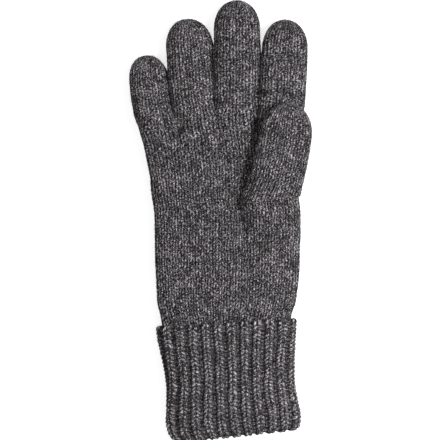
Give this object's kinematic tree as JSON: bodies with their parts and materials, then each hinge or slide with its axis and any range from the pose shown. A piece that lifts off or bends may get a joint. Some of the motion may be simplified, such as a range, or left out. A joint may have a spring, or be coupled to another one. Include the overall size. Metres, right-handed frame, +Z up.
{
  "type": "knitted glove",
  "caption": "Knitted wool glove for the right hand, lying flat with its palm up, with a ribbed cuff turned up at the wrist and a thumb that opens from the palm.",
  "frame": {"origin": "middle of the footprint, on the surface that the glove lies on", "axes": "+Z up out of the palm side, +Y from the cuff towards the fingertips, +X towards the index finger and thumb"},
  "size_m": [0.1153, 0.281, 0.0264],
  "materials": {
    "wool_stocking_stitch": "matte",
    "wool_rib": "matte"
  },
  "bodies": {
    "hand": {"hand_tube": "wool_stocking_stitch", "wrist_rib": "wool_rib", "thumb_gusset": "wool_stocking_stitch", "web_little_ring": "wool_stocking_stitch", "web_ring_middle": "wool_stocking_stitch", "web_middle_index": "wool_stocking_stitch", "little_finger_root": "wool_stocking_stitch", "ring_finger_root": "wool_stocking_stitch", "middle_finger_root": "wool_stocking_stitch", "index_finger_root": "wool_stocking_stitch"},
    "cuff": {"cuff_bind_off": "wool_rib", "cuff_turn_up": "wool_rib", "cuff_fold": "wool_rib"},
    "little_finger_proximal": {"little_finger_proximal": "wool_stocking_stitch"},
    "little_finger_middle": {"little_finger_middle": "wool_stocking_stitch"},
    "little_finger_distal": {"little_finger_distal": "wool_stocking_stitch", "little_finger_tip": "wool_stocking_stitch"},
    "ring_finger_proximal": {"ring_finger_proximal": "wool_stocking_stitch"},
    "ring_finger_middle": {"ring_finger_middle": "wool_stocking_stitch"},
    "ring_finger_distal": {"ring_finger_distal": "wool_stocking_stitch", "ring_finger_tip": "wool_stocking_stitch"},
    "middle_finger_proximal": {"middle_finger_proximal": "wool_stocking_stitch"},
    "middle_finger_middle": {"middle_finger_middle": "wool_stocking_stitch"},
    "middle_finger_distal": {"middle_finger_distal": "wool_stocking_stitch", "middle_finger_tip": "wool_stocking_stitch"},
    "index_finger_proximal": {"index_finger_proximal": "wool_stocking_stitch"},
    "index_finger_middle": {"index_finger_middle": "wool_stocking_stitch"},
    "index_finger_distal": {"index_finger_distal": "wool_stocking_stitch", "index_finger_tip": "wool_stocking_stitch"},
    "thumb_root": {"thumb_root": "wool_stocking_stitch"},
    "thumb_proximal": {"thumb_proximal": "wool_stocking_stitch"},
    "thumb_distal": {"thumb_distal": "wool_stocking_stitch", "thumb_tip": "wool_stocking_stitch"}
  },
  "joints": [
    {"name": "cuff_turn_down", "type": "slide", "parent": "hand", "child": "cuff", "axis": [0.061, -0.9981, 0], "range_m": [0, 0.06]},
    {"name": "little_finger_knuckle", "type": "hinge", "parent": "hand", "child": "little_finger_proximal", "pos_m": [-0.04119, 0.06392, 0.01311], "axis": [0.9863, 0.165, 0], "range_deg": [0, 60]},
    {"name": "little_finger_bend", "type": "hinge", "parent": "little_finger_proximal", "child": "little_finger_middle", "pos_m": [-0.04406, 0.08108, 0.01256], "axis": [0.9863, 0.165, 0], "range_deg": [0, 75]},
    {"name": "little_finger_tip_bend", "type": "hinge", "parent": "little_finger_middle", "child": "little_finger_distal", "pos_m": [-0.04598, 0.09252, 0.01219], "axis": [0.9863, 0.165, 0], "range_deg": [0, 45]},
    {"name": "ring_finger_knuckle", "type": "hinge", "parent": "hand", "child": "ring_finger_proximal", "pos_m": [-0.01598, 0.06996, 0.01304], "axis": [0.9966, 0.0819, 0], "range_deg": [0, 60]},
    {"name": "ring_finger_bend", "type": "hinge", "parent": "ring_finger_proximal", "child": "ring_finger_middle", "pos_m": [-0.01795, 0.09388, 0.01254], "axis": [0.9966, 0.0819, 0], "range_deg": [0, 75]},
    {"name": "ring_finger_tip_bend", "type": "hinge", "parent": "ring_finger_middle", "child": "ring_finger_distal", "pos_m": [-0.01934, 0.11082, 0.01218], "axis": [0.9966, 0.0819, 0], "range_deg": [0, 45]},
    {"name": "middle_finger_knuckle", "type": "hinge", "parent": "hand", "child": "middle_finger_proximal", "pos_m": [0.011, 0.072, 0.01304], "axis": [1, 0, 0], "range_deg": [0, 60]},
    {"name": "middle_finger_bend", "type": "hinge", "parent": "middle_finger_proximal", "child": "middle_finger_middle", "pos_m": [0.011, 0.1005, 0.01253], "axis": [1, 0, 0], "range_deg": [0, 75]},
    {"name": "middle_finger_tip_bend", "type": "hinge", "parent": "middle_finger_middle", "child": "middle_finger_distal", "pos_m": [0.011, 0.12, 0.01217], "axis": [1, 0, 0], "range_deg": [0, 45]},
    {"name": "index_finger_knuckle", "type": "hinge", "parent": "hand", "child": "index_finger_proximal", "pos_m": [0.0394, 0.07647, 0.0129], "axis": [0.9982, -0.0593, 0], "range_deg": [0, 60]},
    {"name": "index_finger_bend", "type": "hinge", "parent": "index_finger_proximal", "child": "index_finger_middle", "pos_m": [0.04067, 0.09793, 0.01244], "axis": [0.9982, -0.0593, 0], "range_deg": [0, 75]},
    {"name": "index_finger_tip_bend", "type": "hinge", "parent": "index_finger_middle", "child": "index_finger_distal", "pos_m": [0.04156, 0.1129, 0.01212], "axis": [0.9982, -0.0593, 0], "range_deg": [0, 45]},
    {"name": "thumb_swing", "type": "hinge", "parent": "hand", "child": "thumb_root", "pos_m": [0.0518, 0.013, 0.0204], "axis": [0, 0, -1], "range_deg": [0, 45]},
    {"name": "thumb_lift", "type": "hinge", "parent": "thumb_root", "child": "thumb_proximal", "pos_m": [0.03424, 0.02281, 0.02646], "axis": [0.981, -0.1942, 0], "range_deg": [0, 50]},
    {"name": "thumb_bend", "type": "hinge", "parent": "thumb_proximal", "child": "thumb_distal", "pos_m": [0.0391, 0.04733, 0.02585], "axis": [0.981, -0.1942, 0], "range_deg": [0, 70]}
  ]
}
